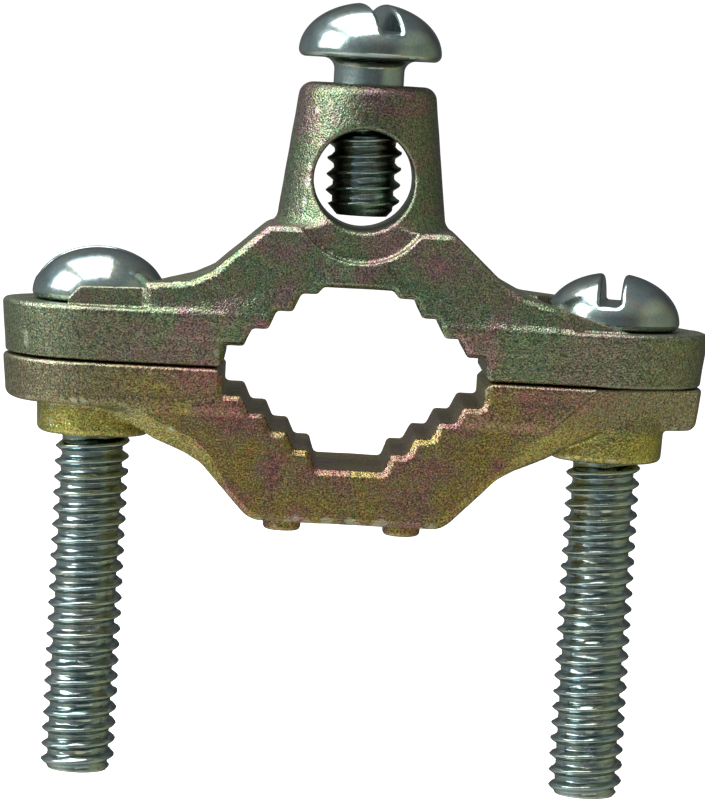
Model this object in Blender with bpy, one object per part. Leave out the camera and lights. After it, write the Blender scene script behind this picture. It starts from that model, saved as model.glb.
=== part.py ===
"""A pipe grounding clamp: two die-cast jaws that two long screws draw together round a pipe, and a lug on the
upper jaw whose screw holds the ground wire.

Frame: X along the jaws, Y along the pipe, Z up. The origin is the middle of the upper jaw's flat pipe seat.
Heights in the code are counted from the parting plane, where the closed jaws meet.
"""

from math import cos, pi, radians, sin, tan

import bmesh
import bpy
from mathutils import Vector

MM = 0.001

# Overall sizes, in millimetres
LENGTH = 56.5
WIDTH = 15.2
SCREW_SPACING = 41.0
UPPER_FLANGE = 4.3
LOWER_FLANGE = 3.65
GAP = 0.3
DRAFT = radians(6)
END_RADIUS = WIDTH / 2
LOWER_LENGTH = 56.0
ARCH_WIDTH = WIDTH - 0.8
EDGE = 0.4

# Pipe opening: flat seats, and four steps a side down to a short upright wall
SEAT_HALF = 2.7
UPPER_SEAT = 6.7
LOWER_SEAT = -7.55
MOUTH_HALF = 10.25
STEPS = 4
UPPER_TIPS = ((3.2, 6.1), (8.75, 1.75))
LOWER_TIPS = ((3.2, -6.1), (8.7, -2.1))
TOOTH_LEAN = 0.62

# Upper jaw
ARCH_TOP = 11.35
RIB_TOP = 6.05
RIB_END = 16.5
LIP_SETBACK = 0.9
LIP_THICKNESS = 0.65
LIP_REACH = 21.8
LOW_LIP_REACH = 21.6
LIP_FALL = 0.2
LUG_TOP = 22.65
LUG_FOOT_RADIUS = 6.8
LUG_TOP_RADIUS = 5.4
WIRE_HOLE_RADIUS = 3.95
WIRE_HOLE_Z = 15.1
SCOOP_RADIUS = 5.5
SCOOP_Z = 14.2
SCOOP_DEPTH = 0.9
BORE_RADIUS = 3.25

# Lower jaw
BOTTOM = -11.9
BOSS_RADIUS = 4.5
BOSS_BOTTOM = -6.3
RELIEF_EDGE = ((7.2, -11.6), (18.2, -1.2))
RELIEF_SLOPE = 0.6
RELIEF_FOOT = -13.0
NUB_X = 4.8
NUB_SHIFT = -0.25
NUB_RADIUS = 1.5
NUB_HEIGHT = 1.4

# Screws: 1/4 inch, 20 threads per inch
PITCH = 1.27
CREST = 3.05
ROOT = 2.45
ROOT_START = 0.34
THREAD_CLEARANCE = 0.2
ROOT_CLEARANCE = 0.17
TAP_CREST_FLAT = 0.2
TAP_TURNS = 9
HEAD_RADIUS = 5.7
CLAMP_HEAD_RADIUS = 5.5
CLAMP_HEAD_HEIGHT = 4.2
WIRE_HEAD_HEIGHT = 4.6
NECK_RADIUS = 2.75
NECK_FLARE = 0.6
HEAD_PROFILE = ((1, 0), (1, 0.12), (0.96, 0.36), (0.80, 0.68), (0.55, 0.88), (0.25, 0.98))
TIP_RADIUS = 2.1
SLOT_WIDTH = 1.6
SLOT_DEPTH = 2.4
CLAMP_SCREW_LENGTH = 38.1
CLAMP_THREAD_TURNS = 28
WIRE_SCREW_LENGTH = 12.4
WIRE_THREAD_TURNS = 7
WIRE_SCREW_TIP = 12.2
CLEARANCE_HOLE_RADIUS = 3.55
HEAD_POCKET_RADIUS = 6.0

SIDES = 16
ARC_STEPS = 12


def clear_scene():
    for obj in list(bpy.data.objects):
        bpy.data.objects.remove(obj, do_unlink=True)


def material(name, colour, roughness, metallic):
    made = bpy.data.materials.new(name)
    made.use_nodes = True
    shader = made.node_tree.nodes["Principled BSDF"]
    shader.inputs["Base Color"].default_value = (*colour, 1.0)
    shader.inputs["Roughness"].default_value = roughness
    shader.inputs["Metallic"].default_value = metallic
    return made


def new_object(name, bm, at=(0, 0, 0), finish=None):
    """An object from a bmesh in millimetres from the parting plane, moved to the part's frame."""
    bmesh.ops.scale(bm, vec=Vector((MM, MM, MM)), verts=bm.verts)
    bmesh.ops.recalc_face_normals(bm, faces=bm.faces)
    mesh = bpy.data.meshes.new(name)
    bm.to_mesh(mesh)
    bm.free()
    obj = bpy.data.objects.new(name, mesh)
    obj.location = Vector(at) * MM - Vector((0, 0, UPPER_SEAT * MM))
    bpy.context.scene.collection.objects.link(obj)
    if finish:
        mesh.materials.append(finish)
        mesh.shade_smooth()
        mesh.set_sharp_from_angle(angle=radians(35))
    else:
        obj.hide_render = True
        obj.display_type = "WIRE"
    return obj


def loft(rings):
    """A closed solid through rings that have equal numbers of points."""
    bm = bmesh.new()
    rows = [[bm.verts.new(point) for point in ring] for ring in rings]
    count = len(rows[0])
    for low, high in zip(rows, rows[1:]):
        for i in range(count):
            j = (i + 1) % count
            bm.faces.new((low[i], low[j], high[j], high[i]))
    bm.faces.new(rows[0][::-1])
    bm.faces.new(rows[-1])
    return bm


def across(outline, back, front):
    """A prism along Y with an outline of (x, z) points."""
    return loft([[(x, y, z) for x, z in outline] for y in (front, back)])


def circle(radius, z, sides=SIDES):
    turns = [2 * pi * i / sides for i in range(sides)]
    return [(radius * cos(t), radius * sin(t), z) for t in turns]


def rod_along_y(radius, z, front, back, sides=24):
    turns = [2 * pi * i / sides for i in range(sides)]
    return across([(radius * cos(t), z + radius * sin(t)) for t in turns], back, front)


def stadium(length, radius, z):
    """The jaws' plan outline: straight sides and full round ends. length is the one at the full END_RADIUS."""
    points = []
    for side, first in ((1, -pi / 2), (-1, pi / 2)):
        for i in range(ARC_STEPS + 1):
            turn = first + pi * i / ARC_STEPS
            x = side * (length / 2 - END_RADIUS) + radius * cos(turn)
            points.append((x, radius * sin(turn), z))
    return points


def flange(length, top, bottom):
    """A jaw's flat plate with broken edges. It narrows from top to bottom by its draft."""
    low = END_RADIUS - (top - bottom) * tan(DRAFT)
    return loft(
        [
            stadium(length, low - EDGE, bottom),
            stadium(length, low, bottom + EDGE),
            stadium(length, END_RADIUS, top - EDGE),
            stadium(length, END_RADIUS - EDGE, top),
        ]
    )


def join(obj, others, operation):
    for other in others:
        step = obj.modifiers.new(other.name, "BOOLEAN")
        step.operation = operation
        step.object = other
        step.solver = "EXACT"


def break_edges(obj, width):
    step = obj.modifiers.new("broken_edges", "BEVEL")
    step.width = width * MM
    step.segments = 1
    step.limit_method = "ANGLE"
    step.angle_limit = radians(50)


def stepped_side(tips, seat):
    """One side of the pipe opening, from the seat's end to the mouth: each step is a tip and the corner behind it."""
    (x0, z0), (x1, z1) = tips
    run, rise = (x1 - x0) / (STEPS - 1), (z1 - z0) / (STEPS - 1)
    points = [(SEAT_HALF, seat)]
    for i in range(STEPS):
        x, z = x0 + run * i, z0 + rise * i
        behind = MOUTH_HALF if i == STEPS - 1 else x + run - TOOTH_LEAN
        points += [(x, z), (behind, z)]
    past_parting = -1.0 if seat > 0 else 1.0
    return points + [(MOUTH_HALF, past_parting)]


def opening(tips, seat):
    right = stepped_side(tips, seat)
    left = [(-x, z) for x, z in reversed(right)]
    return across(left + right, WIDTH, -WIDTH)


def turned(rings, sides=SIDES):
    return loft([circle(radius, z, sides) for radius, z in rings])


def upper_arch_outline():
    """The arch and its ribs above the flange, from the left rib's end to the right one's."""
    half = [(7.3, ARCH_TOP), (11.6, 7.45), (13.2, 6.65), (RIB_END - 1.0, RIB_TOP)]
    right = half + [(RIB_END, RIB_TOP - 0.6), (RIB_END + 1.2, UPPER_FLANGE - 0.2), (RIB_END + 1.2, 2.0)]
    return [(-x, z) for x, z in reversed(right)] + right


def lower_arch_outline():
    right = [
        (7.6, BOTTOM),
        (11.6, -7.75),
        (12.9, -7.0),
        (15.5, -5.95),
        (17.2, -5.0),
        (20.0, -LOWER_FLANGE),
        (20.0, -1.5),
    ]
    return [(-x, z) for x, z in reversed(right)] + right


def lip(side, hand):
    """A thin wall beside a clamp screw's head. hand -1 is the level one, front left or its twin back right, and
    hand 1 the one that slopes down to the flange, front right or its twin back left."""
    outer = WIDTH / 2 - LIP_SETBACK
    if hand < 0:
        far = [(LIP_REACH, RIB_TOP - LIP_FALL), (LIP_REACH + 1.0, RIB_TOP - 1.1), (LIP_REACH + 1.0, 2.0)]
    else:
        far = [(LOW_LIP_REACH, UPPER_FLANGE), (LOW_LIP_REACH, 2.0)]
    outline = [(RIB_END - 2.0, 2.0), (RIB_END - 2.0, RIB_TOP), (RIB_END - 0.5, RIB_TOP - 0.2)] + far
    outline = [(hand * side * x, z) for x, z in outline]
    return across(outline, -side * (outer - LIP_THICKNESS), -side * outer)


def thread_rod(radii, bottom, turns, ends):
    """A right-hand thread as one closed body. radii are its crest and root, and ends the tip's and the neck's radius.

    Rows follow the helix, so the crest and the root are edges. Heights are held between the two ends, where the rows
    run together, and the radius comes down to the end's own.
    """
    crest, root, flat = radii
    top = bottom + turns * PITCH
    profile = [(-flat / 2, crest), (flat / 2, crest), (ROOT_START, root), (1 - ROOT_START, root)]
    if flat == 0:
        profile = profile[1:]
    bm = bmesh.new()
    known = {}

    def vert(row, column):
        turn, part = divmod(row, len(profile))
        phase, radius = profile[part]
        z = bottom + PITCH * (turn - 1 + phase + column / SIDES)
        z = min(max(z, bottom), top)
        radius = min(radius, ends[0] + (z - bottom), ends[1] + 0.8 * (top - z))
        key = round(z, 5), column % SIDES
        if key not in known:
            angle = 2 * pi * (column % SIDES) / SIDES
            known[key] = bm.verts.new((radius * cos(angle), radius * sin(angle), z))
        return known[key]

    for row in range(len(profile) * (turns + 2)):
        for column in range(SIDES):
            corners = [
                vert(row, column),
                vert(row, column + 1),
                vert(row + 1, column + 1),
                vert(row + 1, column),
            ]
            corners = list(dict.fromkeys(corners))
            if len(corners) > 2:
                bm.faces.new(corners)
    for z in (bottom, top):
        bm.faces.new([known[round(z, 5), column] for column in range(SIDES)])
    return bm


def add_head(bm, thread_top, seat, wide, rise, neck):
    """Carries a thread's top ring up through the neck and a slotted round head."""
    ring = [v for v in bm.verts if abs(v.co.z - thread_top) < 1e-4]
    ring.sort(key=lambda v: (v.co.xy.angle_signed(Vector((1, 0)))) % (2 * pi))
    for face in [f for f in bm.faces if all(v in ring for v in f.verts)]:
        bm.faces.remove(face)
    rings = [(neck, seat - NECK_FLARE), (neck + NECK_FLARE, seat)]
    rings += [(radius * wide, seat + height * rise) for radius, height in HEAD_PROFILE]
    for radius, z in rings:
        above = [bm.verts.new(point) for point in circle(radius, z)]
        for i in range(SIDES):
            j = (i + 1) % SIDES
            bm.faces.new((ring[i], ring[j], above[j], above[i]))
        ring = above
    bm.faces.new(ring)


def slot_cutter(name, at, top, turn):
    reach = HEAD_RADIUS + 1
    low, high = top - SLOT_DEPTH, top + 1
    half = SLOT_WIDTH / 2
    outline = [(-half, low), (half, low), (half, high), (-half, high)]
    cutter = new_object(name, across(outline, reach, -reach), at)
    cutter.rotation_euler.z = radians(turn)
    return cutter


def screw(name, x, seat, length, head, turns, slot_turn, finish):
    """A slotted round-head screw on the axis x. head is its radius and height, above the height seat."""
    bottom = seat - length
    bm = thread_rod((CREST, ROOT, 0), bottom, turns, (TIP_RADIUS, ROOT))
    add_head(bm, bottom + turns * PITCH, seat, *head, NECK_RADIUS)
    made = new_object(name, bm, (x, 0, 0), finish)
    join(made, [slot_cutter(name + "_slot", (x, 0, 0), seat + head[1], slot_turn)], "DIFFERENCE")
    return made


def upper_jaw(finish):
    jaw = new_object("upper_jaw", flange(LENGTH, UPPER_FLANGE, 0), finish=finish)
    half = ARCH_WIDTH / 2
    arch = new_object("arch", across(upper_arch_outline(), half, -half))
    break_edges(arch, EDGE)
    lug = new_object(
        "lug",
        turned(
            [
                (LUG_FOOT_RADIUS, 7.0),
                (LUG_FOOT_RADIUS, ARCH_TOP),
                (LUG_TOP_RADIUS + 0.1, LUG_TOP - 0.9),
                (LUG_TOP_RADIUS - 0.8, LUG_TOP),
            ],
            24,
        ),
    )
    lips = [new_object(f"lip_{side}_{hand}", lip(side, hand)) for side in (1, -1) for hand in (1, -1)]
    cuts = [
        new_object("upper_opening", opening(UPPER_TIPS, UPPER_SEAT)),
        new_object("wire_hole", rod_along_y(WIRE_HOLE_RADIUS, WIRE_HOLE_Z, -WIDTH, WIDTH)),
        new_object("wire_screw_bore", turned([(BORE_RADIUS, WIRE_HOLE_Z), (BORE_RADIUS, LUG_TOP + 1)])),
    ]
    for side in (1, -1):
        scoop = rod_along_y(SCOOP_RADIUS, SCOOP_Z, side * (half - SCOOP_DEPTH), side * WIDTH)
        cuts.append(new_object(f"scoop_{side}", scoop))
        hole = turned([(CLEARANCE_HOLE_RADIUS, -1), (CLEARANCE_HOLE_RADIUS, UPPER_FLANGE + 1)])
        pocket = turned([(HEAD_POCKET_RADIUS, UPPER_FLANGE), (HEAD_POCKET_RADIUS, LUG_TOP)], 24)
        for name, cutter in ((f"screw_hole_{side}", hole), (f"head_pocket_{side}", pocket)):
            cuts.append(new_object(name, cutter, (side * SCREW_SPACING / 2, 0, 0)))
    join(jaw, [arch, lug, *lips], "UNION")
    join(jaw, cuts, "DIFFERENCE")
    return jaw


def lower_jaw(finish):
    jaw = new_object("lower_jaw", flange(LOWER_LENGTH, -GAP, -LOWER_FLANGE), finish=finish)
    half = ARCH_WIDTH / 2
    arch = new_object("lower_arch", across(lower_arch_outline(), half, -half))
    break_edges(arch, EDGE)
    added, cuts = [arch], [new_object("lower_opening", opening(LOWER_TIPS, LOWER_SEAT))]
    grown = CREST + THREAD_CLEARANCE, ROOT + ROOT_CLEARANCE, TAP_CREST_FLAT
    for side in (1, -1):
        at = side * SCREW_SPACING / 2, 0, 0
        boss = turned([(BOSS_RADIUS, BOSS_BOTTOM), (BOSS_RADIUS + 0.25, -1.5)], 24)
        added.append(new_object(f"boss_{side}", boss, at))
        nub = turned([(NUB_RADIUS, BOTTOM - NUB_HEIGHT), (NUB_RADIUS, BOTTOM + 1)])
        added.append(new_object(f"nub_{side}", nub, (side * NUB_X + NUB_SHIFT, 0, 0)))
        cuts.append(new_object(f"relief_{side}", strut_relief(side)))
        pitches_up = int((BOSS_BOTTOM - clamp_screw_bottom()) / PITCH) - 1
        tap = thread_rod(grown, clamp_screw_bottom() + pitches_up * PITCH, TAP_TURNS, (grown[0], grown[0]))
        cuts.append(new_object(f"tap_{side}", tap, at))
    join(jaw, added, "UNION")
    join(jaw, cuts, "DIFFERENCE")
    return jaw


def strut_relief(side):
    """A wedge that planes the strut's lower corner back, front right and its twin back left."""
    rows = []
    for x, high in RELIEF_EDGE:
        face = ARCH_WIDTH / 2
        inner = face - RELIEF_SLOPE * (high - RELIEF_FOOT)
        section = [(WIDTH, RELIEF_FOOT), (inner, RELIEF_FOOT), (face, high), (WIDTH, high)]
        rows.append([(side * x, -side * y, z) for y, z in section])
    return loft(rows)


def clamp_screw_bottom():
    return UPPER_FLANGE + GAP - CLAMP_SCREW_LENGTH


def main():
    clear_scene()
    upper = material("upper_jaw_zinc", (0.33, 0.31, 0.20), 0.45, 0.85)
    lower = material("lower_jaw_zinc", (0.36, 0.27, 0.17), 0.45, 0.85)
    steel = material("screw_steel", (0.42, 0.45, 0.48), 0.32, 1.0)
    upper_jaw(upper)
    lower_jaw(lower)
    half = SCREW_SPACING / 2
    seat = UPPER_FLANGE + GAP
    head = CLAMP_HEAD_RADIUS, CLAMP_HEAD_HEIGHT
    for name, x, turn in (("left_clamp_screw", -half, -86), ("right_clamp_screw", half, -8)):
        screw(name, x, seat, CLAMP_SCREW_LENGTH, head, CLAMP_THREAD_TURNS, turn, steel)
    seat = WIRE_SCREW_TIP + WIRE_SCREW_LENGTH
    head = HEAD_RADIUS, WIRE_HEAD_HEIGHT
    screw("wire_screw", 0, seat, WIRE_SCREW_LENGTH, head, WIRE_THREAD_TURNS, 18, steel)


main()
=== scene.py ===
"""The looks of the pipe grounding clamp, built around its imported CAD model.

The two die-cast jaws are written as signed distances, so that every casting edge is rounded or bevelled as
the real one is, and meshed by surface nets. The screws have rolled threads with small burrs, and slots with
rounded edges. Shapes are in millimetres, with heights counted from the parting plane where the closed jaws
meet, and X and Y as in the frame.
"""

from math import cos, pi, radians, sin, tan

import bpy
import numpy as np
from mathutils import Euler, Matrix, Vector


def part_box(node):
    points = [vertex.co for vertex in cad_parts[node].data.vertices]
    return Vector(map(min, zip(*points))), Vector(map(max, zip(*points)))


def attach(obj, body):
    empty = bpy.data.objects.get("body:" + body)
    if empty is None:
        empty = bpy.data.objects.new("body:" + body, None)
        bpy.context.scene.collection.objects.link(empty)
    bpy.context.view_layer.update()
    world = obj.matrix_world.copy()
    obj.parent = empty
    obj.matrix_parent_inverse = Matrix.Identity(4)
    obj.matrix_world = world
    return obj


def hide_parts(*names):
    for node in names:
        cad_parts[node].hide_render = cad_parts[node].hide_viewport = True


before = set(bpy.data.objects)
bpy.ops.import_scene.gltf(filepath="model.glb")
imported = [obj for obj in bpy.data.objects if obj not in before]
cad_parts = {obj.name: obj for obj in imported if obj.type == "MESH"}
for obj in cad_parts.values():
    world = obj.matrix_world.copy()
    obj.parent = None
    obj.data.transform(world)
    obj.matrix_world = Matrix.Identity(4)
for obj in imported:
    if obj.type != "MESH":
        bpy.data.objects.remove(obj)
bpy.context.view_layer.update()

MM = 0.001


def in_mm(body):
    low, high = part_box(body)
    return np.array(low) / MM, np.array(high) / MM


# Overall sizes, from the frame
JAW_LOW, JAW_HIGH = in_mm("upper_jaw")
LOWER_LOW, LOWER_HIGH = in_mm("lower_jaw")
PARTING = JAW_LOW[2]
END_RADIUS = (JAW_HIGH[1] - JAW_LOW[1]) / 2
LENGTH = JAW_HIGH[0] - JAW_LOW[0]
LUG_TOP = JAW_HIGH[2] - PARTING
LUG_FOOT_RADIUS = 6.8
LUG_TOP_RADIUS = 5.4

# Jaws
UPPER_FLANGE = 4.3
LOWER_FLANGE = 3.65
GAP = 0.12
DRAFT = radians(6)
HALF_ARCH = END_RADIUS - 0.4
SEAT_HALF = 2.7
UPPER_SEAT = -PARTING
LOWER_SEAT = -7.55
MOUTH_HALF = 10.25
STEPS = 4
UPPER_TIPS = ((3.2, 6.1), (8.75, 1.75))
LOWER_TIPS = ((3.2, -6.1), (8.7, -2.1))
TOOTH_LEAN = 0.62
TOOTH_ROUNDING = 0.38
ARCH_TOP = 11.35
RIB_TOP = 6.05
RIB_END = 16.5
LEFT_RIB_END = RIB_END + 0.2
LIP_SETBACK = 0.9
LIP_THICKNESS = 0.65
LIP_REACH = 21.8
LOW_LIP_REACH = 21.6
LIP_FALL = 0.25
WIRE_HOLE_RADIUS = 3.95
WIRE_HOLE_Z = 15.1
SCOOP_RADIUS = 5.5
SCOOP_Z = 14.2
SCOOP_DEPTH = 0.9
BOTTOM = -11.9
BOSS_RADIUS = 4.5
BOSS_BOTTOM = -6.3
NUB_X = 4.8
NUB_SHIFT = -0.25
NUB_RADIUS = 1.5
RELIEF_EDGE = ((7.2, -11.6), (18.2, -1.2))
RELIEF_SLOPE = 0.6
CREASE_WIDTH = 1.6
FLUSH_SETBACK = 0.1
STRUT_BEVEL = 1.4
STRUT_BEVEL_FROM = 8.5
STRUT_BEVEL_RUN = 3.5
LOWER_BEVEL = 0.45
UPPER_BEVEL = 0.4
ARCH_BEVEL = 0.42
CAST_RIPPLE = 0.035
RIPPLE_SIZE = 2.6

# The floor is low enough for the lower jaw at the end of its travel
JAW_TRAVEL = 26.67
FLOOR_GAP = 0.8

# Screws
PITCH = 1.27
CREST = 2.98
ROOT = 2.43
# Shares of the pitch, and how far the flanks run into round crests and roots
CREST_FLAT = 0.03
FLANK_RUN = 0.33
FLANK_SOFTNESS = 0.28
TAP_CLEARANCE = 0.18
SLOT_WIDTH = 1.6
SLOT_DEPTH = 2.4
BORE_CLEARANCE = 0.2
CLEARANCE_HOLE_RADIUS = 3.55
HEAD_POCKET_RADIUS = 6.0
CLAMP_HEAD_HEIGHT = 4.4
WIRE_HEAD_HEIGHT = 4.5
HEAD_RIM = 0.5
HEAD_MARGIN = 0.12
NECK_RADIUS = 2.8
NECK_LENGTH = 2.6
THREAD_WEAR = 0.05
CREST_BURR = 0.12

JAW_STEP = 0.21
HEAD_STEP = 0.13
THREAD_COLUMNS = 72
THREAD_ROWS = 12

# The photograph's viewpoint, in metres
CAMERA_LENS = 174.9
CAMERA_AT = (-0.0054, -0.310, 0.0178)
CAMERA_AIM = (0.0001, 0, -0.0093)
CAMERA_TILT = radians(3.15)


# ---------------------------------------------------------------- signed distances

HALF_DIAGONAL = 0.7071


def join(a, b, fillet):
    """Union with a round fillet."""
    corner = np.hypot(np.maximum(fillet - a, 0), np.maximum(fillet - b, 0))
    return np.maximum(fillet, np.minimum(a, b)) - corner


def meet(a, b, rounding):
    """Intersection with a rounded edge."""
    return -join(-a, -b, rounding)


def cut(a, b, rounding):
    return meet(a, -b, rounding)


def bevelled(a, b, width):
    """Intersection with a flat bevel along the edge. width may vary from place to place."""
    return np.maximum(np.maximum(a, b), (a + b + width) * HALF_DIAGONAL)


def polygon(u, v, points):
    """Signed distance from a closed outline of (u, v) points, negative inside."""
    nearest = np.full(np.broadcast(u, v).shape, 1e9)
    inside = np.zeros(nearest.shape, bool)
    for (u0, v0), (u1, v1) in zip(points, points[1:] + points[:1]):
        du, dv = u1 - u0, v1 - v0
        along = np.clip(((u - u0) * du + (v - v0) * dv) / (du * du + dv * dv), 0, 1)
        nearest = np.minimum(nearest, np.hypot(u - u0 - along * du, v - v0 - along * dv))
        if dv:
            crosses = (v0 <= v) != (v1 <= v)
            inside ^= crosses & (u < u0 + (v - v0) * du / dv)
    return np.where(inside, -nearest, nearest)


def rounded(points, radius, steps=4):
    """The outline with an arc of about this radius at each corner."""
    made = []
    for i, point in enumerate(points):
        near = point, points[i - 1], points[(i + 1) % len(points)]
        corner, before, after = (np.array(each, float) for each in near)
        to_before, to_after = before - corner, after - corner
        back, on = np.linalg.norm(to_before), np.linalg.norm(to_after)
        to_before, to_after = to_before / back, to_after / on
        half = np.arccos(np.clip(to_before @ to_after, -1, 1)) / 2
        reach = min(radius / tan(half) if half < 1.55 else 0, 0.48 * back, 0.48 * on)
        if reach < 1e-3:
            made.append(tuple(corner))
            continue
        start, end = corner + to_before * reach, corner + to_after * reach
        for step in range(steps + 1):
            t = step / steps
            made.append(tuple((1 - t) ** 2 * start + 2 * t * (1 - t) * corner + t * t * end))
    return made


def stadium(x, y, z, length, top):
    """The jaws' drafted plan outline, which has its full length at the height top."""
    straight = length / 2 - END_RADIUS
    radius = END_RADIUS - (top - z) * tan(DRAFT)
    return (np.hypot(np.maximum(np.abs(x) - straight, 0), y) - radius) * cos(DRAFT)


def cone(x, y, z, low, high):
    """An upright cone or cylinder through two (radius, height) rings."""
    (r0, z0), (r1, z1) = low, high
    slope = (r1 - r0) / (z1 - z0)
    return (np.hypot(x, y) - r0 - slope * (z - z0)) / np.hypot(1, slope)


def stepped_side(tips, seat):
    """One side of the pipe opening, from seat to mouth: each step is a tip and the corner behind it."""
    (x0, z0), (x1, z1) = tips
    run, rise = (x1 - x0) / (STEPS - 1), (z1 - z0) / (STEPS - 1)
    points = [(SEAT_HALF, seat)]
    for i in range(STEPS):
        x, z = x0 + run * i, z0 + rise * i
        behind = MOUTH_HALF if i == STEPS - 1 else x + run - TOOTH_LEAN
        points += [(x, z), (behind, z)]
    past_parting = -1.0 if seat > 0 else 1.0
    return points + [(MOUTH_HALF, past_parting)]


def mirrored(right):
    return [(-x, z) for x, z in reversed(right)] + right


def ripple(x, y, z, scale, seed):
    """A smooth pattern from 0 to 1 with features of about this size, without a direction of its own."""
    rng = np.random.default_rng(seed)
    total = 0
    for _ in range(7):
        turn = rng.normal(size=3)
        turn *= 2 * pi / scale / np.linalg.norm(turn)
        total = total + np.sin(x * turn[0] + y * turn[1] + z * turn[2] + rng.uniform(0, 2 * pi))
    return np.clip(0.5 + total / 9, 0, 1)


def arch_face(x, z):
    """Half the depth of the upper arch: flush with the flange round the teeth, and set back above them."""
    flush = END_RADIUS - FLUSH_SETBACK - tan(DRAFT) * np.abs(z - UPPER_FLANGE)
    proud = np.clip(0.5 - polygon(x, z, UPPER_BAND) / CREASE_WIDTH, 0, 1)
    return HALF_ARCH + (flush - HALF_ARCH) * proud * proud * (3 - 2 * proud)


def screw_sides():
    """Each clamp screw's side, axis and lowest point."""
    for side, body in ((-1, "left_clamp_screw"), (1, "right_clamp_screw")):
        low, high = in_mm(body)
        yield side, (low[0] + high[0]) / 2, low[2] - PARTING


# ---------------------------------------------------------------- the two jaws

ARCH_SIDE = [(7.3, ARCH_TOP), (11.6, 7.45), (13.2, 6.65), (RIB_END - 1.0, RIB_TOP)]
# The front face: its left rib ends in an upright edge at the lip, and its right one slopes down to the flange
UPPER_ARCH = rounded(
    [(-RIB_END - 3.0, 2.0), (-RIB_END - 3.0, RIB_TOP)]
    + [(-x, z) for x, z in reversed(ARCH_SIDE[:-1])]
    + ARCH_SIDE
    + [(RIB_END, RIB_TOP - 0.6), (RIB_END + 1.2, UPPER_FLANGE - 0.2), (RIB_END + 1.2, 2.0)],
    1.6,
)
LOWER_ARCH = rounded(
    mirrored(
        [
            (7.6, BOTTOM),
            (11.6, -7.75),
            (12.9, -7.0),
            (15.5, -5.95),
            (17.2, -5.0),
            (20.0, -LOWER_FLANGE),
            (20.0, -1.5),
        ]
    ),
    2.2,
)
UPPER_OPENING = rounded(mirrored(stepped_side(UPPER_TIPS, UPPER_SEAT)), TOOTH_ROUNDING)
LOWER_OPENING = rounded(mirrored(stepped_side(LOWER_TIPS, LOWER_SEAT)), TOOTH_ROUNDING)
# The band round the upper teeth that is flush with the flange
UPPER_BAND = mirrored(
    [(4.4, 7.2), (7.0, 6.1), (9.1, 5.3), (11.1, 4.8), (14.6, 4.35), (15.6, 4.3), (15.6, -2.0)]
)


def lip(x, y, z, side, hand):
    """A thin wall beside a clamp screw's head.

    hand -1 is the level one, front left or its twin back right, and hand 1 the one that slopes down to the
    flange, front right or its twin back left.
    """
    if hand < 0:
        far = [(LIP_REACH, RIB_TOP - LIP_FALL), (LIP_REACH + 0.9, RIB_TOP - 1.3), (LIP_REACH + 0.9, 2.0)]
    else:
        far = [(LOW_LIP_REACH, UPPER_FLANGE), (LOW_LIP_REACH, 2.0)]
    outline = [(RIB_END - 2.0, 2.0), (RIB_END - 2.0, RIB_TOP), (RIB_END - 0.5, RIB_TOP - 0.1)] + far
    middle = END_RADIUS - LIP_SETBACK - LIP_THICKNESS / 2
    flat = polygon(hand * side * x, z, rounded(outline, 0.3))
    return meet(flat, np.abs(y + side * middle) - LIP_THICKNESS / 2, 0.15)


def upper_jaw_shape(x, y, z):
    flange = meet(stadium(x, y, z, LENGTH, UPPER_FLANGE), z - UPPER_FLANGE, 0.45)
    flange = meet(flange, -z, 0.25)
    front = y < 0
    outline = np.where(front, polygon(x, z, UPPER_ARCH), polygon(-x, z, UPPER_ARCH))
    outline = meet(outline, -LEFT_RIB_END - np.where(front, x, -x), 0.15)
    arch = bevelled(outline, np.abs(y) - arch_face(x, z), ARCH_BEVEL)
    shape = join(flange, arch, 0.3)
    lug = cone(x, y, z, (LUG_FOOT_RADIUS, ARCH_TOP), (LUG_TOP_RADIUS + 0.1, LUG_TOP - 0.9))
    lug = meet(meet(lug, z - LUG_TOP, 0.95), 7.0 - z, 0.1)
    shape = join(shape, lug, 0.8)
    for side in (1, -1):
        for hand in (1, -1):
            shape = join(shape, lip(x, y, z, side, hand), 0.12)
        beyond = HALF_ARCH - SCOOP_DEPTH + side * y
        scoop = meet(np.hypot(x, z - SCOOP_Z) - SCOOP_RADIUS, beyond, 0.3)
        shape = cut(shape, scoop, 0.22)
    for side, axis, _ in screw_sides():
        shape = cut(shape, np.hypot(x - axis, y) - CLEARANCE_HOLE_RADIUS, 0.2)
        pocket = np.maximum(np.hypot(x - axis, y) - HEAD_POCKET_RADIUS, UPPER_FLANGE - z)
        shape = cut(shape, pocket, 0.1)
    shape = bevelled(shape, -polygon(x, z, UPPER_OPENING), UPPER_BEVEL)
    shape = cut(shape, np.hypot(x, z - WIRE_HOLE_Z) - WIRE_HOLE_RADIUS, 0.45)
    bore = np.maximum(np.hypot(x, y) - CREST - BORE_CLEARANCE, WIRE_HOLE_Z - z)
    shape = cut(shape, bore, 0.25)
    return shape + CAST_RIPPLE * ripple(x, y, z, RIPPLE_SIZE, 3)


def tapped_hole(x, y, z, axis, screw_bottom):
    """A threaded hole that clears the screw's thread by the same gap all round."""
    angle = np.arctan2(y, x - axis) / (2 * pi)
    phase = np.mod((z - screw_bottom) / PITCH - angle, 1)
    depth = np.clip(np.abs(phase * 2 - 1) * 1.5 - 0.25, 0, 1)
    return np.hypot(x - axis, y) - ROOT - TAP_CLEARANCE - (CREST - ROOT) * depth


def strut_relief(x, y, z, side):
    """The plane that sets the strut's lower corner back, front right and its twin back left."""
    x, y = side * x, -side * y
    (x0, z0), (x1, z1) = RELIEF_EDGE
    deep = z0 + (x - x0) * (z1 - z0) / (x1 - x0) - z
    wedge = np.maximum(HALF_ARCH - y - RELIEF_SLOPE * deep, -deep) / np.hypot(1, RELIEF_SLOPE)
    return wedge + np.maximum(x0 - x, 0)


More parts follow.
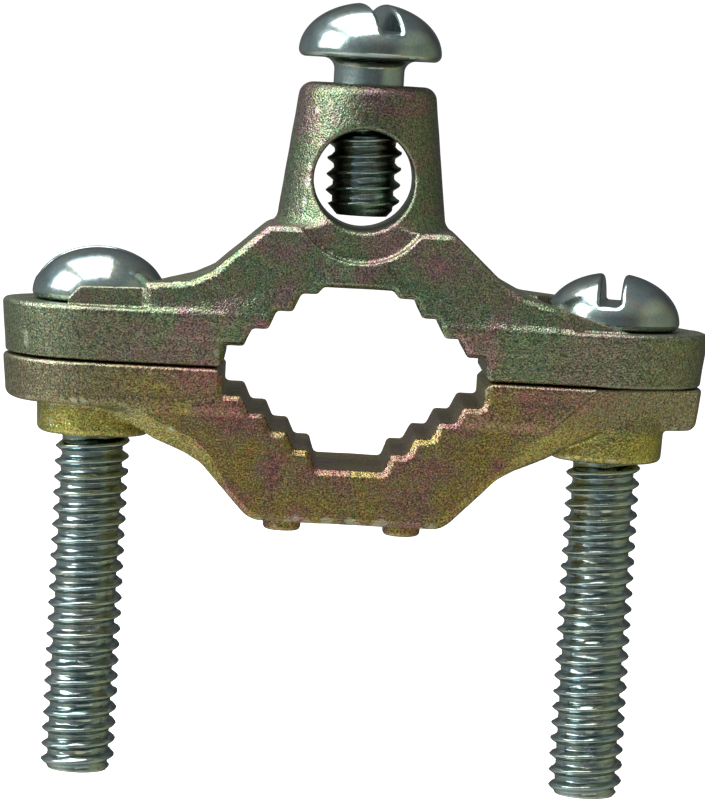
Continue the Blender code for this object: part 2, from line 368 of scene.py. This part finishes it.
def lower_jaw_shape(x, y, z):
    flange = meet(stadium(x, y, z, LOWER_HIGH[0] - LOWER_LOW[0], -GAP), z + GAP, 0.35)
    flange = meet(flange, -LOWER_FLANGE - z, 0.7)
    under = polygon(x, z, LOWER_ARCH)
    # The strut's lower corner has a wider bevel, front left and back right, which dies out lower down.
    out_along = np.where(y < 0, -x, x)
    widening = np.clip((out_along - STRUT_BEVEL_FROM) / STRUT_BEVEL_RUN, 0, 1)
    width = np.maximum(ARCH_BEVEL, STRUT_BEVEL * widening)
    arch = bevelled(under, np.abs(y) - HALF_ARCH, width)
    shape = join(flange, arch, 0.5)
    for side in (1, -1):
        foot = LOWER_LOW[2] - PARTING
        nub = cone(x - side * NUB_X - NUB_SHIFT, y, z, (NUB_RADIUS, foot), (NUB_RADIUS + 0.1, BOTTOM))
        nub = meet(nub, foot - z, 0.35)
        shape = join(shape, np.maximum(nub, z + 10.0), 0.3)
        shape = cut(shape, strut_relief(x, y, z, side), 0.3)
    for side, axis, screw_bottom in screw_sides():
        boss = cone(x - axis, y, z, (BOSS_RADIUS, BOSS_BOTTOM), (BOSS_RADIUS + 0.25, -1.5))
        boss = meet(meet(boss, BOSS_BOTTOM - z, 0.55), z + 1.5, 0.1)
        shape = join(shape, boss, 0.35)
        shape = cut(shape, tapped_hole(x, y, z, axis, screw_bottom), 0.12)
    shape = bevelled(shape, -polygon(x, z, LOWER_OPENING), LOWER_BEVEL)
    return shape + CAST_RIPPLE * ripple(x, y, z, RIPPLE_SIZE, 5)


# ---------------------------------------------------------------- meshes


def surface_net(shape, low, high, step):
    """Vertices and quads of the surface where shape is zero, between two corners."""
    counts = np.ceil((high - low) / step).astype(int) + 5
    start = (low + high) / 2 - (counts - 1) * step / 2
    x, y, z = np.ogrid[tuple(slice(n) for n in counts)]
    values = shape(start[0] + x * step, start[1] + y * step, start[2] + z * step)
    inside = values < 0
    corners = [(a, b, c) for a in (0, 1) for b in (0, 1) for c in (0, 1)]
    shrunk = [n - 1 for n in counts]

    def shifted(array, offset):
        return array[tuple(slice(o, o + n) for o, n in zip(offset, shrunk))]

    filled = sum(shifted(inside, offset).astype(np.int8) for offset in corners)
    active = (filled > 0) & (filled < 8)
    cells = np.argwhere(active)
    number = np.full(shrunk, -1)
    number[active] = np.arange(len(cells))
    total, crossings = np.zeros((len(cells), 3)), np.zeros(len(cells))
    for axis in range(3):
        unit = np.eye(3, dtype=int)[axis]
        for offset in corners:
            if offset[axis]:
                continue
            first = cells + offset
            second = first + unit
            a, b = values[tuple(first.T)], values[tuple(second.T)]
            crosses = (a < 0) != (b < 0)
            t = a[crosses] / (a[crosses] - b[crosses])
            total[crosses] += first[crosses] + t[:, None] * unit
            crossings += crosses
    points = start + total / crossings[:, None] * step
    quads = []
    for axis in range(3):
        u, v = np.eye(3, dtype=int)[[(axis + 1) % 3, (axis + 2) % 3]]
        span = [slice(1, n - 1) for n in counts]
        span[axis] = slice(0, counts[axis] - 1)
        beyond = list(span)
        beyond[axis] = slice(1, counts[axis])
        here, there = inside[tuple(span)], inside[tuple(beyond)]
        edges = np.argwhere(here != there)
        edges += [s.start for s in span]
        leaves = inside[tuple(edges.T)]
        ring = [edges - u - v, edges - v, edges, edges - u]
        ring = np.stack([number[tuple(cell.T)] for cell in ring], axis=1)
        quads.append(np.where(leaves[:, None], ring, ring[:, ::-1]))
    return points, np.concatenate(quads)


def slope_of(shape, points, reach):
    """The gradient of shape at each point."""
    found = []
    for axis in range(3):
        nudge = np.eye(3)[axis] * reach
        found.append(shape(*(points + nudge).T) - shape(*(points - nudge).T))
    return np.stack(found, axis=1) / (2 * reach)


def solid(name, shape, low, high, step):
    """A mesh object of the shape, with its vertices on the surface and its normals from the slope."""
    points, quads = surface_net(shape, low, high, step)
    reach = step / 4
    for _ in range(2):
        slope = slope_of(shape, points, reach)
        steep = np.maximum((slope**2).sum(1), 0.3)
        move = -shape(*points.T)[:, None] * slope / steep[:, None]
        size = np.linalg.norm(move, axis=1, keepdims=True)
        points = points + move * np.minimum(1, 0.5 * step / np.maximum(size, 1e-9))
    normals = slope_of(shape, points, reach)
    normals /= np.maximum(np.linalg.norm(normals, axis=1, keepdims=True), 1e-9)
    made = new_mesh(name, points, quads)
    made.data.normals_split_custom_set_from_vertices(normals.tolist())
    return made


def new_mesh(name, points, faces):
    """An object from points in millimetres from the parting plane."""
    mesh = bpy.data.meshes.new(name)
    points = (np.asarray(points) + (0, 0, PARTING)) * MM
    mesh.from_pydata(points.tolist(), [], [list(face) for face in faces])
    mesh.validate()
    mesh.shade_smooth()
    made = bpy.data.objects.new(name, mesh)
    bpy.context.scene.collection.objects.link(made)
    return made


def thread_radius(phase):
    """A rolled thread's radius over one pitch, which has its crest at 0 and at 1."""
    from_crest = np.abs(np.mod(phase + 0.5, 1) - 0.5)
    down = np.clip((from_crest - CREST_FLAT) / FLANK_RUN, 0, 1)
    softened = down * down * (3 - 2 * down)
    return CREST - (CREST - ROOT) * (down * (1 - FLANK_SOFTNESS) + FLANK_SOFTNESS * softened)


def threaded_rod(name, axis, bottom, turns, tip, seed):
    """A closed rod with a helical rolled thread. Its rows follow the helix and run together at the ends."""
    rng = np.random.default_rng(seed)
    top = bottom + turns * PITCH
    rows = THREAD_ROWS * (turns + 1)
    row, column = np.mgrid[0 : rows + 1, 0 : THREAD_COLUMNS + 1]
    # A turn's last column is the next turn's first one, so both take the same wear.
    around = column % THREAD_COLUMNS
    level = row + THREAD_ROWS * (column // THREAD_COLUMNS)
    wear = rng.normal(size=(rows + THREAD_ROWS + 1, THREAD_COLUMNS))
    for _ in range(4):
        wear = (wear + np.roll(wear, 1, 1) + np.roll(wear, -1, 1)) / 3
    height = bottom + PITCH * (level / THREAD_ROWS - 1 + around / THREAD_COLUMNS)
    wear = wear[level, around] * np.clip(np.minimum(height - bottom, top - height) / PITCH, 0, 1)
    on_crest = np.abs(np.mod(level / THREAD_ROWS + 0.5, 1) - 0.5) < 2 * CREST_FLAT
    burr = CREST_BURR * on_crest * np.maximum(wear - 0.5, 0)
    radius = np.minimum(thread_radius(level / THREAD_ROWS) + THREAD_WEAR * wear + burr, CREST)
    height = np.clip(height + THREAD_WEAR * wear, bottom, top)
    radius = np.minimum(radius, tip + 0.9 * (height - bottom))
    radius = np.where(height >= top, ROOT, np.minimum(radius, ROOT + 0.9 * (top - height)))
    turn = 2 * pi * around / THREAD_COLUMNS
    points = np.stack([radius * np.cos(turn), radius * np.sin(turn), height], axis=-1)
    flat, number = np.unique(np.round(points.reshape(-1, 3), 5), axis=0, return_inverse=True)
    number = number.reshape(row.shape)
    corners = (number[:-1, :-1], number[:-1, 1:], number[1:, 1:], number[1:, :-1])
    faces = [list(dict.fromkeys(face)) for face in np.stack(corners, axis=-1).reshape(-1, 4).tolist()]
    faces = [face for face in faces if len(face) > 2]
    first, last = number[0, :THREAD_COLUMNS].tolist(), number[-1, :THREAD_COLUMNS].tolist()
    return new_mesh(name, flat + (axis, 0, 0), faces + [first[::-1], last])


def head_shape(x, y, z, axis, radius, seat, top, turn):
    """A slotted round head and the neck below it."""
    x = x - axis
    r = np.hypot(x, y)
    dome_height = top - seat - HEAD_RIM
    above_rim = z - seat - HEAD_RIM
    level = np.hypot(r / radius, above_rim / dome_height)
    grade = np.hypot(r / radius**2, above_rim / dome_height**2)
    dome = (level - 1) * level / np.maximum(grade, 1e-3)
    head = np.where(above_rim > 0, dome, r - radius)
    head = meet(head, seat - z, 0.6)
    neck = np.maximum(r - NECK_RADIUS, seat - NECK_LENGTH - z)
    neck = np.maximum(neck, z - seat - 1.0)
    head = join(head, neck, 0.9)
    across = x * cos(turn) + y * sin(turn)
    slot = meet(np.abs(across) - SLOT_WIDTH / 2, top - SLOT_DEPTH - z, 0.25)
    return cut(head, slot, 0.4)


def screw(body, tip_radius, turns, slot_turn, seed):
    low, high = in_mm(body)
    axis = (low[0] + high[0]) / 2
    bottom, top = low[2] - PARTING, high[2] - PARTING
    margin, head_height = (0, WIRE_HEAD_HEIGHT) if body == "wire_screw" else (HEAD_MARGIN, CLAMP_HEAD_HEIGHT)
    radius = (high[0] - low[0]) / 2 - margin
    seat = top - head_height
    made = threaded_rod(body + "_body", axis, bottom, turns, tip_radius, seed)
    corner_low = np.array([axis - radius, -radius, seat - NECK_LENGTH - 0.2])
    corner_high = np.array([axis + radius, radius, top])

    def shape(x, y, z):
        return head_shape(x, y, z, axis, radius, seat, top, radians(slot_turn))

    head = solid(body + "_head", shape, corner_low, corner_high, HEAD_STEP)
    step = made.modifiers.new("head", "BOOLEAN")
    step.operation, step.object, step.solver = "UNION", head, "MANIFOLD"
    bpy.context.view_layer.objects.active = made
    with bpy.context.temp_override(object=made, active_object=made):
        bpy.ops.object.modifier_apply(modifier=step.name)
    bpy.data.objects.remove(head)
    made.data.shade_smooth()
    made.data.set_sharp_from_angle(angle=radians(50))
    return made


# ---------------------------------------------------------------- materials


def tree_of(name):
    made = bpy.data.materials.new(name)
    made.use_nodes = True
    return made, made.node_tree


def node(tree, kind, inputs=(), **settings):
    """A node with its settings and inputs, where an input is a number or another node's output."""
    made = tree.nodes.new("ShaderNode" + kind)
    for key, value in settings.items():
        setattr(made, key, value)
    for key, value in dict(inputs).items():
        if isinstance(value, bpy.types.NodeSocket):
            tree.links.new(value, made.inputs[key])
        else:
            made.inputs[key].default_value = value
    return made


def noise(tree, at, scale, detail=2.0, colour=False):
    """Noise with about this many features a millimetre."""
    made = node(tree, "TexNoise", {"Vector": at, "Scale": scale / MM, "Detail": detail})
    return made.outputs[1 if colour else 0]


def ramp(tree, value, stops):
    made = node(tree, "ValToRGB", {0: value})
    points = made.color_ramp.elements
    while len(points) < len(stops):
        points.new(0.5)
    for point, (position, colour) in zip(points, stops):
        point.position = position
        point.color = (*colour, 1.0) if len(colour) == 3 else colour
    return made.outputs[0]


def blend(tree, factor, a, b, kind="MIX"):
    made = node(tree, "Mix", {0: factor}, data_type="RGBA", blend_type=kind)
    for key, value in ((6, a), (7, b)):
        if isinstance(value, bpy.types.NodeSocket):
            tree.links.new(value, made.inputs[key])
        else:
            made.inputs[key].default_value = (*value, 1.0)
    return made.outputs[2]


def arithmetic(tree, operation, a, b=0.0):
    return node(tree, "Math", {0: a, 1: b}, operation=operation).outputs[0]


def between(tree, value, low, high):
    """0 at the low place and 1 at the high one, in millimetres."""
    return node(tree, "MapRange", {0: value, 1: low * MM, 2: high * MM}).outputs[0]


def plated_casting(name, tints, ends, painted_underlight):
    """Zinc casting under a yellow chromate film: patches of tint, fine mottling, grain and brighter edges.

    The film is greener towards the jaw's ends, and painted reflected light from below makes it brighter and
    yellower under them and on the strut's planed corner.
    Painted shade makes it darker on the lug.
    """
    made, tree = tree_of(name)
    shader = tree.nodes["Principled BSDF"]
    at = node(tree, "TexCoord").outputs["Object"]
    where = node(tree, "SeparateXYZ", {0: at}).outputs
    patches = ramp(tree, noise(tree, at, 0.22, 3.0), tints)
    from_middle = arithmetic(tree, "ABSOLUTE", where["X"])
    wobble = arithmetic(tree, "MULTIPLY", noise(tree, at, 0.3, 2.0), 9.0 * MM)
    to_end = arithmetic(tree, "ADD", from_middle, wobble)
    at_end = between(tree, to_end, 17, 27)
    patches = blend(tree, arithmetic(tree, "MULTIPLY", at_end, 0.85), patches, ends)
    # Painted reflected light from below: under the lower jaw's ends the film is blended to a brighter,
    # yellower tint.
    under = between(tree, where["Z"], PARTING - 3.2, PARTING - 4.4)
    patches = blend(tree, arithmetic(tree, "MULTIPLY", under, at_end), patches, painted_underlight)
    sideways = arithmetic(tree, "ABSOLUTE", where["Y"])
    # Painted reflected light from below on the strut's set-back corner, in the same brighter, yellower tint.
    inset = between(tree, sideways, 7.14, 6.95)
    strut_glow_stops = [(0.1, (0,) * 3), (0.3, (0.4,) * 3), (0.6, (0.4,) * 3), (0.95, (0,) * 3)]
    painted_strut_glow = ramp(tree, between(tree, from_middle, 7, 19), strut_glow_stops)
    patches = blend(tree, arithmetic(tree, "MULTIPLY", inset, painted_strut_glow), patches, painted_underlight)
    # Painted shade: the film is darkened on the lug.
    painted_lug_shade = between(tree, where["Z"], PARTING + 11.5, PARTING + 14)
    patches = blend(tree, arithmetic(tree, "MULTIPLY", painted_lug_shade, 0.2), patches, (0.05, 0.05, 0.04))
    mottle = noise(tree, at, 2.3, 4.0, colour=True)
    tinted = blend(tree, 0.42, patches, mottle, "OVERLAY")
    grain = noise(tree, at, 7.5, 1.5)
    pits_to_peaks = [(0.32, (0.16, 0.18, 0.19)), (0.5, (0.84, 0.84, 0.82)), (0.68, (1.7, 1.7, 1.55))]
    grain_tone = ramp(tree, grain, pits_to_peaks)
    grained = blend(tree, 0.85, tinted, grain_tone, "MULTIPLY")
    edge = node(tree, "NewGeometry").outputs["Pointiness"]
    worn = ramp(tree, edge, [(0.53, (0, 0, 0)), (0.60, (1, 1, 1))])
    coloured = blend(tree, arithmetic(tree, "MULTIPLY", worn, 0.4), grained, (0.74, 0.78, 0.62))
    tree.links.new(coloured, shader.inputs["Base Color"])
    shader.inputs["Metallic"].default_value = 0.92
    rough = ramp(tree, noise(tree, at, 1.1, 4.0), [(0.3, (0.24,) * 3), (0.7, (0.40,) * 3)])
    tree.links.new(rough, shader.inputs["Roughness"])
    height = arithmetic(tree, "ADD", grain, arithmetic(tree, "MULTIPLY", noise(tree, at, 1.6, 3.0), 1.4))
    bump = node(tree, "Bump", {"Height": height, "Strength": 0.6, "Distance": 0.0001})
    tree.links.new(bump.outputs[0], shader.inputs["Normal"])
    return made


def bright_zinc(name):
    """Clear zinc plating on steel: bluish and finely brushed by rolling, with painted shade darkening the
    recesses.
    """
    made, tree = tree_of(name)
    shader = tree.nodes["Principled BSDF"]
    at = node(tree, "TexCoord").outputs["Object"]
    base = ramp(
        tree,
        noise(tree, at, 0.5, 4.0),
        [(0.3, (0.30, 0.40, 0.42)), (0.5, (0.37, 0.46, 0.46)), (0.7, (0.43, 0.47, 0.41))],
    )
    grain = noise(tree, at, 5.0, 3.0, colour=True)
    speckled = blend(tree, 0.35, base, grain, "OVERLAY")
    # Painted shade: Pointiness darkens the recesses, such as the thread roots and the slot.
    hollow = node(tree, "NewGeometry").outputs["Pointiness"]
    painted_recess_shade = ramp(tree, hollow, [(0.44, (0.30, 0.34, 0.40)), (0.5, (1, 1, 1))])
    coloured = blend(tree, 0.8, speckled, painted_recess_shade, "MULTIPLY")
    tree.links.new(coloured, shader.inputs["Base Color"])
    shader.inputs["Metallic"].default_value = 1.0
    rough = ramp(tree, noise(tree, at, 1.4, 5.0), [(0.3, (0.12,) * 3), (0.7, (0.24,) * 3)])
    tree.links.new(rough, shader.inputs["Roughness"])
    bump = node(tree, "Bump", {"Height": noise(tree, at, 3.0, 4.0), "Strength": 0.3, "Distance": 0.00003})
    tree.links.new(bump.outputs[0], shader.inputs["Normal"])
    return made


# ---------------------------------------------------------------- pieces


def place(piece, finish, body):
    piece.data.materials.clear()
    piece.data.materials.append(finish)
    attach(piece, body)
    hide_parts(body)


def build_pieces():
    olive = [
        (0.28, (0.35, 0.23, 0.23)),
        (0.42, (0.22, 0.30, 0.19)),
        (0.52, (0.28, 0.29, 0.20)),
        (0.62, (0.37, 0.24, 0.25)),
        (0.75, (0.23, 0.31, 0.20)),
    ]
    gold = [
        (0.28, (0.40, 0.21, 0.18)),
        (0.42, (0.41, 0.32, 0.11)),
        (0.52, (0.37, 0.27, 0.16)),
        (0.62, (0.40, 0.20, 0.19)),
        (0.75, (0.40, 0.34, 0.11)),
    ]
    # Each pair: the tint at the jaw's ends, then the painted reflected light from below.
    olive_ends_and_underlight = (0.27, 0.30, 0.21), (0.29, 0.31, 0.18)
    gold_ends_and_underlight = (0.29, 0.28, 0.19), (0.54, 0.50, 0.15)
    parting = np.array([0.0, 0.0, PARTING])
    upper = solid("upper_jaw_casting", upper_jaw_shape, JAW_LOW - parting, JAW_HIGH - parting, JAW_STEP)
    place(upper, plated_casting("olive_chromate", olive, *olive_ends_and_underlight), "upper_jaw")
    lower = solid("lower_jaw_casting", lower_jaw_shape, LOWER_LOW - parting, LOWER_HIGH - parting, JAW_STEP)
    place(lower, plated_casting("gold_chromate", gold, *gold_ends_and_underlight), "lower_jaw")
    zinc = bright_zinc("bright_zinc")
    for body, tip_radius, turns, slot_turn, seed in (
        ("left_clamp_screw", 2.35, 28, -86, 11),
        ("right_clamp_screw", 2.35, 28, -8, 12),
        ("wire_screw", 2.0, 8, 18, 13),
    ):
        place(screw(body, tip_radius, turns, slot_turn, seed), zinc, body)


# ---------------------------------------------------------------- floor, light and camera


def soft_light(name, at, size, power, colour):
    """An area light that faces the origin."""
    data = bpy.data.lights.new(name, "AREA")
    data.shape, data.size, data.size_y = "RECTANGLE", size[0], size[1]
    data.energy, data.color = power, colour
    made = bpy.data.objects.new(name, data)
    made.location = Vector(at)
    made.rotation_euler = (-Vector(at)).to_track_quat("-Z", "Y").to_euler()
    bpy.context.scene.collection.objects.link(made)


def build_surroundings():
    """A room that is white to look at. Its light is bright above, below and at the left, and dim behind."""
    world = bpy.data.worlds.new("studio")
    world.use_nodes = True
    bpy.context.scene.world = world
    tree = world.node_tree
    direction = node(tree, "TexCoord").outputs["Generated"]
    parts = node(tree, "SeparateXYZ", {0: direction}).outputs
    upward = node(tree, "MapRange", {0: parts["Z"], 1: -1.0, 2: 1.0}).outputs[0]
    height_tone = ramp(
        tree,
        upward,
        [
            (0.13, (0.9, 0.9, 0.84)),
            (0.3, (0.285, 0.28, 0.21)),
            (0.5, (0.24, 0.255, 0.255)),
            (0.68, (0.22, 0.23, 0.23)),
            (0.92, (0.6, 0.62, 0.62)),
        ],
    )
    leftward = node(tree, "MapRange", {0: parts["X"], 1: 1.0, 2: -1.0}).outputs[0]
    right_to_left = [(0.06, (1.9, 1.8, 1.3)), (0.22, (0.6,) * 3), (0.6, (0.9,) * 3), (0.9, (2.2,) * 3)]
    side_tone = ramp(tree, leftward, right_to_left)
    backward = node(tree, "MapRange", {0: parts["Y"], 1: -1.0, 2: 1.0}).outputs[0]
    depth_tone = ramp(tree, backward, [(0.2, (0.98,) * 3), (0.8, (0.55,) * 3)])
    both = blend(tree, 1.0, height_tone, side_tone, "MULTIPLY")
    surround = blend(tree, 1.0, both, depth_tone, "MULTIPLY")
    lighting = node(tree, "Background", {"Color": surround, "Strength": 1.0})
    seen = node(tree, "Background", {"Color": (1, 1, 1, 1), "Strength": 1.05})
    camera_ray = node(tree, "LightPath").outputs["Is Camera Ray"]
    mixed = node(tree, "MixShader", {0: camera_ray, 1: lighting.outputs[0], 2: seen.outputs[0]})
    tree.links.new(mixed.outputs[0], tree.nodes["World Output"].inputs["Surface"])
    soft_light("window_left", (-0.28, -0.09, 0.17), (0.24, 0.22), 1.05, (0.97, 1.0, 1.0))
    soft_light("window_above", (-0.07, -0.01, 0.32), (0.38, 0.24), 1.2, (1.0, 1.0, 0.98))
    soft_light("table_glow", (0.10, -0.26, -0.16), (0.3, 0.1), 0.07, (1.0, 0.93, 0.66))


def build_floor():
    low = (LOWER_LOW[2] - JAW_TRAVEL - FLOOR_GAP) * MM
    mesh = bpy.data.meshes.new("floor")
    reach = 1.6
    corners = [(-reach, -reach, low), (reach, -reach, low), (reach, reach, low), (-reach, reach, low)]
    mesh.from_pydata(corners, [], [(0, 1, 2, 3)])
    floor = bpy.data.objects.new("floor", mesh)
    bpy.context.scene.collection.objects.link(floor)
    made, tree = tree_of("pale_floor")
    shader = tree.nodes["Principled BSDF"]
    at = node(tree, "TexCoord").outputs["Object"]
    tone = ramp(tree, noise(tree, at, 0.02, 3.0), [(0.3, (0.90, 0.90, 0.90)), (0.7, (0.93, 0.93, 0.93))])
    tree.links.new(tone, shader.inputs["Base Color"])
    shader.inputs["Roughness"].default_value = 0.9
    shader.inputs["Emission Color"].default_value = (1, 1, 1, 1)
    shader.inputs["Emission Strength"].default_value = 0.8
    mesh.materials.append(made)
    floor.visible_glossy = False
    floor.visible_diffuse = False


def build_camera():
    """In front and a little above, with the photograph's slight tilt."""
    data = bpy.data.cameras.new("camera")
    data.lens = CAMERA_LENS
    data.clip_start = 0.01
    camera = bpy.data.objects.new("camera", data)
    camera.location = CAMERA_AT
    aim = Vector(CAMERA_AIM) - camera.location
    camera.rotation_mode = "QUATERNION"
    camera.rotation_quaternion = aim.to_track_quat("-Z", "Y") @ Euler((0, 0, CAMERA_TILT)).to_quaternion()
    bpy.context.scene.collection.objects.link(camera)
    bpy.context.scene.camera = camera


build_camera()
build_surroundings()
build_floor()
build_pieces()
bpy.context.scene.view_settings.view_transform = "Standard"
